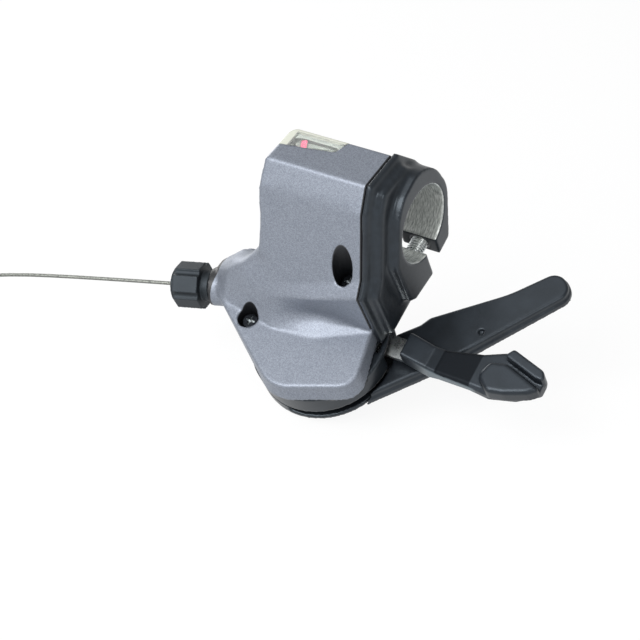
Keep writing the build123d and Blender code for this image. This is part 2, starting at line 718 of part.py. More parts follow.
main_plate = slab(main_plate + blade * (main_arm - Circle(main_disc_r - 1)), main_bottom, main_top)
main_plate = main_plate - disc(pawl_pin_r, main_bottom - 1, main_top + 1, drive_at)
keep_pod("main_lever_plate", main_plate)
keep_pod("main_lever_paddle", blade * paddle - disc(pod_r + lever_air, -3 * pod_r, 0) - main_plate)
keep_pod("main_lever_spring", flat_spiral(arbor_r + lever_gap, main_spring_r, arbor_bottom + seam))

# Release lever

release_plate = Circle(release_hub_r) + Pos(0, release_arm_y) * Rectangle(
    release_arm_reach, release_arm_width, align=(Align.MIN, Align.CENTER)
)
release_plate = slab(release_plate - Circle(shaft_r + fit), release_bottom, release_top)
keep_pod("release_lever_plate", release_plate)


def knob_section(x, y_low, y_high, z_low, z_high, corner):
    width = y_high - y_low
    height = z_high - z_low
    face = chamfer(Rectangle(width, height).vertices(), corner)
    return Plane.YZ.offset(x) * Pos((y_low + y_high) / 2, (z_low + z_high) / 2) * face


knob = loft([knob_section(*section) for section in knob_sections], ruled=True)
pad = slab(rounded(thumb_pad, thumb_pad_radii), knob_base, knob_top)
pad = fillet(pad.edges().group_by(Axis.Z)[-1], thumb_pad_edge_r)
ridge = slab(rounded(knob_ridge, knob_ridge_radii), knob_base, knob_top)
ridge = fillet(ridge.edges().group_by(Axis.Z)[-1], knob_ridge_edge_r)
keep_pod("release_lever_knob", knob + pad + ridge - release_plate)
release_spring_low = arbor_top - seam - strip_height
keep_pod("release_lever_spring", flat_spiral(arbor_r + lever_gap, release_spring_r, release_spring_low))

# Barrel adjuster

knob_start = seat_gap + collar_length
disc_start = knob_start + knob_length
adjuster_end = disc_start + end_disc_length
lobes = RegularPolygon(knob_flat, 6, major_radius=False) & Circle(knob_r)
for lobe in range(6):
    lobes = lobes - Rot(0, 0, 60 * lobe) * Pos(knob_r, 0) * Circle(knob_notch)
adjuster = along_cable(Circle(collar_r), seat_gap, knob_start) + along_cable(lobes, knob_start, disc_start)
adjuster = adjuster + along_cable(Circle(end_disc_r), disc_start, adjuster_end)
adjuster = adjuster - along_cable(Circle(barrel_r), 0, disc_start)
keep_pod("adjuster_knob", adjuster - along_cable(Circle(barrel_bore_r), 0, adjuster_end + 1))
keep_pod("adjuster_barrel", along_cable(Circle(barrel_r) - Circle(barrel_bore_r), -barrel_inside, disc_start))
click_ring = Circle(click_ring_r) - Circle(barrel_r + lever_gap)
keep_pod("adjuster_spring", along_cable(click_ring, -click_ring_thick, 0))

# Cable: the run inside, the free tail and its coil

run_start = -(seat_x * cable_dir.X + seat_y * cable_dir.Y)
keep_pod("cable_run", along_cable(Circle(cable_r), run_start, adjuster_end))
exit_point = (pod.location * seat_plane.offset(adjuster_end).location).position
tail = [exit_point] + [Vector(*point) for point in tail_points]
radii = []
for before, corner, after in zip(tail, tail[1:], tail[2:]):
    turn = (corner - before).get_angle(after - corner)
    shorter = min((corner - before).length, (after - corner).length)
    radii.append(bend_share * shorter / tan(radians(turn / 2)))
tail_path = FilletPolyline(*tail, radius=radii)
tail_start = Plane(origin=tail[0], z_dir=tail[1] - tail[0])
parts["cable_tail"] = sweep(tail_start * Circle(cable_r), path=tail_path)
coil_at = Pos(*tail_points[-1]) * Pos(0, coil_r, 0)
coil_section = RectangleRounded(coil_side, coil_side, coil_side / 4)
parts["cable_coil"] = coil_at * revolve(Plane.XZ * Pos(coil_r, 0) * coil_section, Axis.Z)
tie_inner = offset(coil_section, bolt_play)
tie_section = offset(tie_inner, tie_thick) - tie_inner
tie_turn = Rot(0, 0, tie_angle)
parts["cable_tie"] = coil_at * tie_turn * revolve(Plane.XZ * Pos(coil_r, 0) * tie_section, Axis.Z, tie_width)

for name, solid in parts.items():
    export_step(solid, f"parts/{name}.step")
    print(name, round(solid.volume, 1), solid.is_valid, len(solid.solids()))
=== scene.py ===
import bpy
import bmesh
import json
from math import cos, pi, radians, sin, tau
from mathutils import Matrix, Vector


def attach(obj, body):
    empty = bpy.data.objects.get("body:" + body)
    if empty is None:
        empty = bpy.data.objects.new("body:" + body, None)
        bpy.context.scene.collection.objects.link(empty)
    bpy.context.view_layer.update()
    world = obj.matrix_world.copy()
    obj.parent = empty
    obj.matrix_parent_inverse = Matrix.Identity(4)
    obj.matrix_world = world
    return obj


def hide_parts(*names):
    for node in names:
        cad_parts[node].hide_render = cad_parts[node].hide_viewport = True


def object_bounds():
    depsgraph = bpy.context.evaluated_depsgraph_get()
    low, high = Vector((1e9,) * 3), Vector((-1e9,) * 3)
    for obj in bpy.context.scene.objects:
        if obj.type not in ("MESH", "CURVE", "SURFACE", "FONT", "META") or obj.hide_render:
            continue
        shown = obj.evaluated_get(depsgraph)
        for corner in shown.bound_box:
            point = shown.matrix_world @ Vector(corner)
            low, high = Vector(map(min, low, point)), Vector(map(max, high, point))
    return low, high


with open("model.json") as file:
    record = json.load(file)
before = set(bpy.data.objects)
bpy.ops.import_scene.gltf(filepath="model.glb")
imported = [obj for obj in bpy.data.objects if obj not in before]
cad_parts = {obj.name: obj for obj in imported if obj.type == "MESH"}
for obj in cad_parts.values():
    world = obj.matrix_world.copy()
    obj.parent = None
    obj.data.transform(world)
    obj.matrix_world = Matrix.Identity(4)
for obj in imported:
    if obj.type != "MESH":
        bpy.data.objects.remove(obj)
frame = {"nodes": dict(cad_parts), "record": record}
cadLow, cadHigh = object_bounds()
nodes = frame["nodes"]
mm = 0.001                                    # the part is drawn in millimetres, Blender works in metres
bodyOf = {node: body for body, members in frame["record"]["behaviour"]["bodies"].items() for node in members}
slotOf = {row["node"]: row["material_slot"] for row in frame["record"]["subparts"]}
print("frame loaded,", len(nodes), "nodes")

# The pod's own frame has its origin on the lever shaft: across along the bar, up its face, out of the face
pod = {
    "shaftMm": Vector((-18.5, -17.4, -32.0)),
    "tilt": radians(30.0),
    "screwsMm": [(11.0, 9.6), (-20.0, -3.8)],
}
podAcross = Vector((1, 0, 0))
podUp = Vector((0, cos(pod["tilt"]), sin(pod["tilt"])))
podOut = Vector((0, -sin(pod["tilt"]), cos(pod["tilt"])))
screwPlaces = [pod["shaftMm"] + x * podAcross + y * podUp for x, y in pod["screwsMm"]]


# Shader helpers

def linear(hexColour):
    # sRGB hex to the linear colour that Blender's sockets take
    values = [int(hexColour[place:place + 2], 16) / 255 for place in (1, 3, 5)]
    return [v / 12.92 if v <= 0.04045 else ((v + 0.055) / 1.055) ** 2.4 for v in values] + [1.0]


def liveOutput(node):
    # The first output in use: vector operations that give a number switch their vector output off
    return next(socket for socket in node.outputs if socket.enabled)


def addNode(tree, kind, inputs, into=None, stops=(), **settings):
    # One shader node: its settings, the colours of a ramp, what feeds each input, and the socket it feeds.
    # An input takes a value, a socket, or a node, whose first live output is used.
    node = tree.nodes.new("ShaderNode" + kind)
    for name, value in settings.items():
        setattr(node, name, value)
    for number, (position, colour) in enumerate(stops):
        node.color_ramp.elements[number].position = position
        node.color_ramp.elements[number].color = linear(colour)
    for socket, value in inputs.items():
        if isinstance(value, bpy.types.Node):
            value = liveOutput(value)
        if isinstance(value, bpy.types.NodeSocket):
            tree.links.new(value, node.inputs[socket])
        else:
            node.inputs[socket].default_value = value
    if into:
        tree.links.new(liveOutput(node), into)
    return node


def newMaterial(name, **sockets):
    # A Principled surface with constant values on its own sockets
    material = bpy.data.materials.new(name)
    material.use_nodes = True
    tree = material.node_tree
    surface = tree.nodes["Principled BSDF"]
    for socket, value in sockets.items():
        surface.inputs[socket.replace("_", " ")].default_value = value
    return material, tree, surface


def perMetre(sizeMm):
    # Texture scale of a pattern whose cells are sizeMm wide, on coordinates in metres
    return 1 / (sizeMm * mm)


def together(tree, operation, *masks):
    # Joins masks two by two: MULTIPLY for all of them, MAXIMUM for any
    result = masks[0]
    for mask in masks[1:]:
        result = addNode(tree, "Math", {0: result, 1: mask}, operation=operation)
    return result


def inside(tree, place, fromMm, *edges):
    # A mask that is 1 within all its edges: each is a direction, the place where it is 0 and where it is 1
    masks = []
    for direction, zeroMm, oneMm in edges:
        reach = addNode(tree, "VectorMath", {0: place, 1: direction}, operation="DOT_PRODUCT")
        start = fromMm.dot(direction)
        masks.append(addNode(tree, "MapRange", {
            "Value": reach, "From Min": (start + zeroMm) * mm, "From Max": (start + oneMm) * mm,
        }))
    return together(tree, "MULTIPLY", *masks)


def nearAxis(tree, place, throughMm, axis, zeroMm, oneMm):
    # A mask that is 1 up to oneMm from an axis, and 0 from zeroMm on
    away = addNode(tree, "VectorMath", {0: place, 1: throughMm * mm}, operation="SUBTRACT")
    aside = addNode(tree, "VectorMath", {0: away, 1: axis}, operation="CROSS_PRODUCT")
    distance = addNode(tree, "VectorMath", {0: aside}, operation="LENGTH")
    return addNode(tree, "MapRange", {"Value": distance, "From Min": zeroMm * mm, "From Max": oneMm * mm})


# Materials

toneStops = (0.35, 0.65)                      # where a pattern turns from its dark tone to its light one
paintedBlueReflection = linear("#d5e2ee")                 # painted reflection: a blue tint on the shine of black pieces, for the bluish light they reflect


def metallicPaint():
    # Sprayed silver metallic lacquer: aluminium flakes give a soft grain that shifts from flake to flake.
    # The black plastic shows where no paint goes round the adjuster's seat; it is near-black inside the screw
    # holes, and a painted shadow darkens the gap at the joint with the bracket. The pocket under the window
    # is painted pale: painted light that lifts the shade on its walls round the dial.
    rise = radians(15.4)                      # of the neck's top face, towards the back
    topSlope = Vector((0, cos(rise), sin(rise)))
    topOut = Vector((0, -sin(rise), cos(rise)))
    look = {
        "dark": "#6a707b", "light": "#848a94", "flakeMm": 0.22, "cloudMm": 5.0, "cloudShift": 0.06,
        "metallic": 0.62, "rough": (0.47, 0.55), "peelMm": 0.9, "peelDepthMm": 0.02, "peelShare": 0.35,
        "blackAndGapShadow": "#0b0d11", "holeMm": 3.25, "holeEdgeMm": 0.12,
        # Painted shadow: the gap at the joint with the bracket is painted near-black
        "joint": [(podAcross, 16.55, 16.63), (podOut, 0.8, 1.2)],
        "seat": [(podAcross, -36.1, -36.2)],
        # Painted light: the pocket's walls under the window are made pale against the shade on them
        "liningPaintedLight": "#989e97", "topMm": Vector((0.0, -18.4, 17.6)),
        "pocket": [
            (topOut, -0.6, -0.65), (topSlope, 6.4, 6.5), (topSlope, 13.0, 12.9),
            (podAcross, -32.6, -32.5), (podAcross, -14.0, -14.1),
        ],
    }
    material, tree, surface = newMaterial("metallicLacquer", Coat_Weight=0.1, Coat_Roughness=0.25)
    place = addNode(tree, "TexCoord", {}).outputs["Object"]
    holes = [
        nearAxis(tree, place, screw, podOut, look["holeMm"] + look["holeEdgeMm"], look["holeMm"])
        for screw in screwPlaces
    ]
    # Painted shadow of the gap at the joint with the bracket
    joint = inside(tree, place, pod["shaftMm"], *look["joint"])
    seat = inside(tree, place, pod["shaftMm"], *look["seat"])
    # Black plastic round the seat, near-black in the screw holes, and the painted shadow in the joint's gap
    blackAndGapShadow = together(tree, "MAXIMUM", *holes, joint, seat)
    # Where the painted light of the window pocket goes
    pocket = inside(tree, place, look["topMm"], *look["pocket"])
    # Flakes are about 0.05 mm: drawn coarser here so that the grain shows
    flakes = addNode(tree, "TexVoronoi", {"Vector": place, "Scale": perMetre(look["flakeMm"])})
    flakeTone = addNode(tree, "SeparateColor", {"Color": flakes.outputs["Color"]})
    cloud = addNode(tree, "TexNoise", {"Vector": place, "Scale": perMetre(look["cloudMm"])})
    drift = addNode(tree, "MapRange", {
        "Value": cloud, "To Min": -look["cloudShift"], "To Max": look["cloudShift"],
    })
    tone = addNode(tree, "Math", {0: flakeTone.outputs["Red"], 1: drift}, operation="ADD")
    paint = addNode(tree, "ValToRGB", {"Fac": tone}, stops=[(0.0, look["dark"]), (1.0, look["light"])])
    # The near-black, including the painted shadow of the joint's gap, goes over the flakes
    paintWithBlackAndGapShadow = addNode(tree, "MixRGB", {"Fac": blackAndGapShadow, "Color1": paint, "Color2": linear(look["blackAndGapShadow"])})
    # The pocket under the window gets its painted light
    addNode(tree, "MixRGB", {
        "Fac": pocket, "Color1": paintWithBlackAndGapShadow, "Color2": linear(look["liningPaintedLight"]),
    }, into=surface.inputs["Base Color"])
    addNode(tree, "MapRange", {
        "Value": together(tree, "MAXIMUM", blackAndGapShadow, pocket), "To Min": look["metallic"], "To Max": 0.0,
    }, into=surface.inputs["Metallic"])
    addNode(tree, "MapRange", {
        "Value": flakeTone.outputs["Green"], "To Min": look["rough"][0], "To Max": look["rough"][1],
    }, into=surface.inputs["Roughness"])
    peel = addNode(tree, "TexNoise", {"Vector": place, "Scale": perMetre(look["peelMm"])})
    addNode(tree, "Bump", {
        "Height": peel, "Distance": look["peelDepthMm"] * mm, "Strength": look["peelShare"],
    }, into=surface.inputs["Normal"])
    return material


def mouldedPlastic(name, look):
    # Plastic from a spark-eroded mould: a fine even grain breaks up the gloss, and the tone drifts a little.
    # The real grain is under 0.1 mm: drawn coarser here so that it shows
    driftMm = 7.0
    # Its shine takes the painted blue reflection tint
    material, tree, surface = newMaterial(name, IOR=1.5, Specular_IOR_Level=0.55, Specular_Tint=paintedBlueReflection)
    place = addNode(tree, "TexCoord", {}).outputs["Object"]
    grain = addNode(tree, "TexNoise", {
        "Vector": place, "Scale": perMetre(look["grainMm"]), "Detail": 3.0, "Roughness": 0.6,
    })
    drift = addNode(tree, "TexNoise", {"Vector": place, "Scale": perMetre(driftMm)})
    addNode(
        tree, "ValToRGB", {"Fac": drift}, into=surface.inputs["Base Color"],
        stops=zip(toneStops, (look["dark"], look["light"])),
    )
    addNode(tree, "MapRange", {
        "Value": grain, "To Min": look["rough"][0], "To Max": look["rough"][1],
    }, into=surface.inputs["Roughness"])
    addNode(tree, "Bump", {
        "Height": grain, "Distance": look["depthMm"] * mm, "Strength": 0.6,
    }, into=surface.inputs["Normal"])
    return material


def leverPlastic():
    # The levers' nylon: matt and darker for grip in the saddle of the release lever's end,
    # with painted light on the flanks of that end, paler where light grazes them
    look = {
        "dark": "#0d1014", "light": "#181c21", "grainMm": 0.45, "depthMm": 0.05, "rough": (0.3, 0.44),
        "shine": (0.55, 0.2), "gripRough": 0.22,
        "grip": {
            "colour": "#06080c", "facing": (0.5, 0.65),
            "edges": [
                (podAcross, 36.0, 36.3), (podAcross, 46.8, 46.4),
                (podOut, -9.6, -9.4), (podOut, -4.9, -5.1),
            ],
        },
        # Painted light: the sides of the release lever's end are made paler, as grazing light shows them
        "flankPaintedLight": {
            "colour": "#525b60", "facing": (0.6, 0.2),
            "edges": [
                (podAcross, 29.0, 35.0), (podAcross, 49.0, 47.5),
                (podOut, -11.5, -11.3), (podOut, -4.0, -4.2),
            ],
        },
    }
    material = mouldedPlastic("glassFilledNylonLever", look)
    tree = material.node_tree
    surface = tree.nodes["Principled BSDF"]
    place = addNode(tree, "TexCoord", {}).outputs["Object"]
    facing = addNode(tree, "NewGeometry", {}).outputs["Normal"]
    faceUp = addNode(tree, "VectorMath", {0: facing, 1: podOut}, operation="DOT_PRODUCT")
    masks = {}
    for patch in ("flankPaintedLight", "grip"):
        turned = addNode(tree, "MapRange", {
            "Value": faceUp, "From Min": look[patch]["facing"][0], "From Max": look[patch]["facing"][1],
        })
        within = inside(tree, place, pod["shaftMm"], *look[patch]["edges"])
        masks[patch] = together(tree, "MULTIPLY", within, turned)
        plain = surface.inputs["Base Color"].links[0].from_socket
        # Mixes in the darker grip colour and the painted light on the flanks
        addNode(tree, "MixRGB", {
            "Fac": masks[patch], "Color1": plain, "Color2": linear(look[patch]["colour"]),
        }, into=surface.inputs["Base Color"])
    addNode(tree, "MapRange", {
        "Value": masks["grip"], "To Min": look["shine"][0], "To Max": look["shine"][1],
    }, into=surface.inputs["Specular IOR Level"])
    sheen = surface.inputs["Roughness"].links[0].from_socket
    matt = addNode(tree, "Math", {0: masks["grip"], 1: look["gripRough"]}, operation="MULTIPLY")
    addNode(tree, "Math", {0: sheen, 1: matt}, into=surface.inputs["Roughness"], operation="ADD")
    return material


def castPaint():
    # Matt black paint on die-cast aluminium: a soft sheen, with a slight cast unevenness.
    # Inside the bore the paint was bored away: raw metal, with fine marks of the tool running round it.
    look = {
        "dark": "#0b0e12", "light": "#14181d", "castMm": 1.6, "dustMm": 0.5, "rough": (0.28, 0.4),
        "boreMm": 11.4, "rawDark": "#8a8e8b", "rawLight": "#d9dcd8", "rawStops": (0.36, 0.62),
        "rawMetallic": 0.45, "markMm": 2.0, "markStretch": (5.0, 1.0, 1.0), "markDepthMm": 0.02,
    }
    # Its shine takes the painted blue reflection tint
    material, tree, surface = newMaterial(
        "mattBlackPaint", IOR=1.5, Specular_IOR_Level=0.6, Specular_Tint=paintedBlueReflection,
    )
    place = addNode(tree, "TexCoord", {}).outputs["Object"]
    axes = addNode(tree, "SeparateXYZ", {"Vector": place})
    across = addNode(tree, "CombineXYZ", {"Y": axes.outputs["Y"], "Z": axes.outputs["Z"]})
    radius = addNode(tree, "VectorMath", {0: across}, operation="LENGTH")
    bored = addNode(tree, "Math", {0: radius, 1: look["boreMm"] * mm}, operation="LESS_THAN")
    # The bore rolled out flat, for marks that are longer round it than along it.
    # Real marks are about 0.1 mm wide: drawn coarser here so that they show
    turn = addNode(tree, "Math", {0: axes.outputs["Z"], 1: axes.outputs["Y"]}, operation="ARCTAN2")
    roundBore = addNode(tree, "Math", {0: turn, 1: look["boreMm"] * mm}, operation="MULTIPLY")
    flat = addNode(tree, "CombineXYZ", {"X": axes.outputs["X"], "Y": roundBore})
    stretched = addNode(tree, "VectorMath", {0: flat, 1: look["markStretch"]}, operation="MULTIPLY")
    marks = addNode(tree, "TexNoise", {
        "Vector": stretched, "Scale": perMetre(look["markMm"]), "Detail": 5.0, "Roughness": 0.65,
    })
    cast = addNode(tree, "TexNoise", {"Vector": place, "Scale": perMetre(look["castMm"]), "Detail": 4.0})
    paint = addNode(tree, "ValToRGB", {"Fac": cast}, stops=zip(toneStops, (look["dark"], look["light"])))
    raw = addNode(tree, "ValToRGB", {
        "Fac": marks,
    }, stops=zip(look["rawStops"], (look["rawDark"], look["rawLight"])))
    addNode(tree, "MixRGB", {
        "Fac": bored, "Color1": paint, "Color2": raw,
    }, into=surface.inputs["Base Color"])
    addNode(tree, "MapRange", {
        "Value": bored, "To Max": look["rawMetallic"],
    }, into=surface.inputs["Metallic"])
    dust = addNode(tree, "TexNoise", {"Vector": place, "Scale": perMetre(look["dustMm"])})
    addNode(tree, "MapRange", {
        "Value": dust, "To Min": look["rough"][0], "To Max": look["rough"][1],
    }, into=surface.inputs["Roughness"])
    addNode(tree, "Bump", {
        "Height": marks, "Distance": look["markDepthMm"] * mm, "Strength": 0.3,
    }, into=surface.inputs["Normal"])
    return material


def bareMetal(name, look):
    # Plated or drawn steel, or turned aluminium: bright, with an uneven grain from plating and handling.
    # The real grain is under 0.1 mm: drawn coarser here so that it shows
    material, tree, surface = newMaterial(name, Metallic=1.0)
    place = addNode(tree, "TexCoord", {}).outputs["Object"]
    grain = addNode(tree, "TexNoise", {
        "Vector": place, "Scale": perMetre(look["grainMm"]), "Detail": 4.0, "Roughness": 0.6,
    })
    addNode(
        tree, "ValToRGB", {"Fac": grain}, into=surface.inputs["Base Color"],
        stops=zip(toneStops, (look["dark"], look["light"])),
    )
    addNode(tree, "MapRange", {
        "Value": grain, "To Min": look["rough"][0], "To Max": look["rough"][1],
    }, into=surface.inputs["Roughness"])
    addNode(tree, "Bump", {
        "Height": grain, "Distance": look["depthMm"] * mm, "Strength": 0.4,
    }, into=surface.inputs["Normal"])
    return material


def screwSteel():
    # Black oxide on steel, with a painted glint inside the cross
    look = {
        "dark": "#16181c", "light": "#2b2e33", "grainMm": 0.6, "depthMm": 0.01, "rough": (0.25, 0.45),
        "paintedGlint": "#a3a8aa", "crossMm": 1.75, "headTopsMm": (14.8, -1.8), "belowMm": 0.3, "edgeMm": 0.1,
    }
    material = bareMetal("blackOxideSteel", look)
    tree = material.node_tree
    surface = tree.nodes["Principled BSDF"]
    place = addNode(tree, "TexCoord", {}).outputs["Object"]
    # Masks of the painted glint inside each screw's cross
    crossGlints = []
    for screw, top in zip(screwPlaces, look["headTopsMm"]):
        below = top - look["belowMm"]
        crossGlints.append(together(
            tree, "MULTIPLY",
            nearAxis(tree, place, screw, podOut, look["crossMm"] + look["edgeMm"], look["crossMm"]),
            inside(tree, place, pod["shaftMm"], (podOut, below, below - look["edgeMm"])),
        ))
    oxide = surface.inputs["Base Color"].links[0].from_socket
    # Painted glint: the cross recess is lightened as if it caught the light
    addNode(tree, "MixRGB", {
        "Fac": together(tree, "MAXIMUM", *crossGlints), "Color1": oxide, "Color2": linear(look["paintedGlint"]),
    }, into=surface.inputs["Base Color"])
    return material


def clearLens():
    # Moulded polycarbonate: a clear field over the dial, with a frosted white border to the left and behind.
    # So thin a pane hardly bends the view, which is why its IOR is low
    look = {
        "frost": "#bec0b5", "clear": "#fafbfa", "clarity": 0.93, "rough": (0.45, 0.05),
        "field": [(podAcross, -30.6, -30.2), (Vector((0, 1, 0)), -6.2, -6.6)],
    }
    material, tree, surface = newMaterial("clearPolycarbonate", IOR=1.12)
    place = addNode(tree, "TexCoord", {}).outputs["Object"]
    field = inside(tree, place, Vector(), *look["field"])
    addNode(
        tree, "ValToRGB", {"Fac": field}, into=surface.inputs["Base Color"],
        stops=zip(toneStops, (look["frost"], look["clear"])),
    )
    addNode(tree, "MapRange", {
        "Value": field, "To Max": look["clarity"],
    }, into=surface.inputs["Transmission Weight"])
    addNode(tree, "MapRange", {
        "Value": field, "To Min": look["rough"][0], "To Max": look["rough"][1],
    }, into=surface.inputs["Roughness"])
    return material


materials = {
    "silver_paint": metallicPaint(),
    # Nylon case: satin black
    "case_plastic": mouldedPlastic("glassFilledNylonCase", {
        "dark": "#0e1115", "light": "#181c20", "grainMm": 0.6, "depthMm": 0.02, "rough": (0.28, 0.38),
    }),
    "bracket_paint": castPaint(),
    # Zinc plating: bright and a little cloudy
    "zinc_steel": bareMetal("zincPlatedSteel", {
        "dark": "#bfc4c4", "light": "#e4e7e5", "grainMm": 2.2, "depthMm": 0.004, "rough": (0.22, 0.34),
    }),
    "black_steel": screwSteel(),
    # Black plating: dark grey with a dull shine
    "dark_steel": bareMetal("blackPlatedSteel", {
        "dark": "#26282b", "light": "#3c3f43", "grainMm": 0.6, "depthMm": 0.01, "rough": (0.3, 0.5),
    }),
    # Tempered spring wire: plain mid grey
    "spring_steel": bareMetal("springSteel", {
        "dark": "#77797b", "light": "#a8aaab", "grainMm": 0.4, "depthMm": 0.01, "rough": (0.25, 0.4),
    }),
    "lever_plastic": leverPlastic(),
    # Nylon grip: matt, with hardly any highlight
    "adjuster_plastic": mouldedPlastic("glassFilledNylonAdjuster", {
        "dark": "#0a0d10", "light": "#14181b", "grainMm": 0.5, "depthMm": 0.03, "rough": (0.5, 0.6),
    }),
    # Acetal gear plastic: milky and smooth
    "nylon": mouldedPlastic("whiteAcetal", {
        "dark": "#cfcdc4", "light": "#e2e0d8", "grainMm": 0.8, "depthMm": 0.02, "rough": (0.35, 0.45),
    }),
    # Turned aluminium: pale and bright
    "alloy": bareMetal("turnedAluminium", {
        "dark": "#a5a7a9", "light": "#c9cbcc", "grainMm": 0.5, "depthMm": 0.01, "rough": (0.25, 0.4),
    }),
    "clear_lens": clearLens(),
    # Printed plate: an even pale grey-green
    "dial_plastic": mouldedPlastic("printedDial", {
        "dark": "#8d948c", "light": "#989f97", "grainMm": 1.5, "depthMm": 0.01, "rough": (0.45, 0.6),
    }),
    # Dyed polystyrene: even and vivid
    "needle_red": mouldedPlastic("needlePolystyrene", {
        "dark": "#f0557a", "light": "#f56d8e", "grainMm": 1.5, "depthMm": 0.01, "rough": (0.3, 0.4),
    }),
    # Drawn wire: dull, because its strands break up the shine
    "cable_steel": bareMetal("drawnSteelWire", {
        "dark": "#5c5e5b", "light": "#8d8f8a", "grainMm": 0.5, "depthMm": 0.01, "rough": (0.45, 0.6),
    }),
    # Nylon tie: dark, with a faint gloss
    "tie_plastic": mouldedPlastic("nylonTie", {
        "dark": "#1d1f22", "light": "#2a2c30", "grainMm": 0.8, "depthMm": 0.02, "rough": (0.4, 0.5),
    }),
}
for name, node in nodes.items():
    node.data.materials.clear()
    node.data.materials.append(materials[slotOf[name]])
print("materials made,", len(materials))


# Moulded skins: a copy of the solid with its edges rounded as a mould leaves them

weldMm = 0.001                                # points closer than this are one
# Where the surface goes from firm to soft, in millimetres.
# Of the cover, the front, shield, boss, screws and rim are placed in the pod's frame.
cover = {
    "front": (0.6, 2.6), "shield": (15.5, 11.5), "neck": (6.0, -3.0), "screw": (4.2, 7.0),
    "boss": (-29.0, -24.0), "bossSoftness": 0.1,
    "rimHeight": 12.0, "rimRise": 0.29, "belowRim": (-3.5, 0.0), "rimLeft": (-19.0, -12.0),
    "rimFirmness": 0.95,
    "bendHeight": 10.0, "bend": (6.0, 2.0), "bendRight": (-3.5, -6.5), "bendLeft": (-31.0, -28.0),
    "bendFront": (-15.0, -16.0),
}
bracket = {
    "slot": Vector((0.0, 0.454, -0.891)), "flange": (-0.3, 0.9), "face": (5.6, 4.4), "bore": (12.2, 13.6),
    "jawAhead": (3.0, 7.0), "jawAside": (9.0, 6.0),
}


def ramp(value, low, high):
    # 0 up to low and 1 from high on, with a smooth slope between them
    share = min(1.0, max(0.0, (value - low) / (high - low)))
    return share * share * (3 - 2 * share)


def coverSoftness(place):
    # How much the cover's flowing lower front is softened here: not at the shield, neck, boss or screw holes
    at = place / mm
    away = at - pod["shaftMm"]
    up, out = away.dot(podUp), away.dot(podOut)
    weight = ramp(out, *cover["front"]) * ramp(away.x, *cover["shield"]) * ramp(at.z, *cover["neck"])
    # The rim that runs down across the front, from the right to the left, stays firm
    aboveRim = out - cover["rimHeight"] - cover["rimRise"] * away.x
    rim = ramp(aboveRim, *cover["belowRim"]) * ramp(away.x, *cover["rimLeft"])
    weight *= 1 - cover["rimFirmness"] * rim
    weight *= cover["bossSoftness"] + (1 - cover["bossSoftness"]) * ramp(away.x, *cover["boss"])
    for x, y in pod["screwsMm"]:
        weight *= ramp(((away.x - x) ** 2 + (up - y) ** 2) ** 0.5, *cover["screw"])
    # The bend across the neck is soft too, away from the neck's two side edges
    bend = ramp(abs(at.z - cover["bendHeight"]), *cover["bend"]) * ramp(at.y, *cover["bendFront"])
    return max(weight, bend * ramp(at.x, *cover["bendRight"]) * ramp(at.x, *cover["bendLeft"]))


def bracketSoftness(place):
    # How much the cast steps from the flange to the ring flow together: not the bore, jaws or outer faces
    at = place / mm
    weight = ramp(at.x, *bracket["flange"]) * ramp(at.x, *bracket["face"])
    weight *= ramp(Vector((0, at.y, at.z)).length, *bracket["bore"])
    ahead = at.dot(bracket["slot"])
    aside = abs(at.dot(podAcross.cross(bracket["slot"])))
    return weight * (1 - ramp(ahead, *bracket["jawAhead"]) * ramp(aside, *bracket["jawAside"]))


def smoothed(piece, passes, weight=None):
    # Smooths the piece, everywhere or by a weight at each place, and makes its modifiers into a plain mesh
    soften = piece.modifiers.new("soften", "SMOOTH")
    soften.factor = 0.5
    soften.iterations = passes
    if weight:
        group = piece.vertex_groups.new(name="soft")
        for vertex in piece.data.vertices:
            group.add([vertex.index], weight(vertex.co), "REPLACE")
        soften.vertex_group = group.name
    result = bpy.data.meshes.new_from_object(piece.evaluated_get(bpy.context.evaluated_depsgraph_get()))
    piece.modifiers.clear()
    piece.vertex_groups.clear()
    piece.data = result


def moulded(node, voxelMm, passes, softPasses=0, softness=None):
    # The CAD mesh is copied, covered by an even skin of small faces, and then smoothed
    mesh = nodes[node].data.copy()
    piece = bpy.data.objects.new(node + "Skin", mesh)
    bpy.context.scene.collection.objects.link(piece)
    shape = bmesh.new()
    shape.from_mesh(mesh)
    bmesh.ops.remove_doubles(shape, verts=shape.verts, dist=weldMm * mm)
    shape.to_mesh(mesh)
    shape.free()
    skin = piece.modifiers.new("skin", "REMESH")
    skin.mode = "VOXEL"
    skin.voxel_size = voxelMm * mm
    smoothed(piece, passes)
    if softPasses:
        smoothed(piece, softPasses, softness)
    rounded = piece.data
    rounded.shade_smooth()
    rounded.materials.clear()
    rounded.materials.append(materials[slotOf[node]])
    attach(piece, bodyOf[node])
    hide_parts(node)
    print(node, "skin:", len(rounded.polygons), "faces")


skins = {
    "main_cover": {"voxelMm": 0.42, "passes": 4, "softPasses": 200, "softness": coverSoftness},
    "base_cover": {"voxelMm": 0.4, "passes": 4},
    "bottom_cover": {"voxelMm": 0.4, "passes": 4},
    "clamp_bracket": {"voxelMm": 0.38, "passes": 4, "softPasses": 80, "softness": bracketSoftness},
    "main_lever_paddle": {"voxelMm": 0.32, "passes": 5},
    "release_lever_knob": {"voxelMm": 0.28, "passes": 5},
    "adjuster_knob": {"voxelMm": 0.22, "passes": 4},
}
for node, settings in skins.items():
    moulded(node, **settings)


# Clamp bolt: M5 with its thread, and a socket head

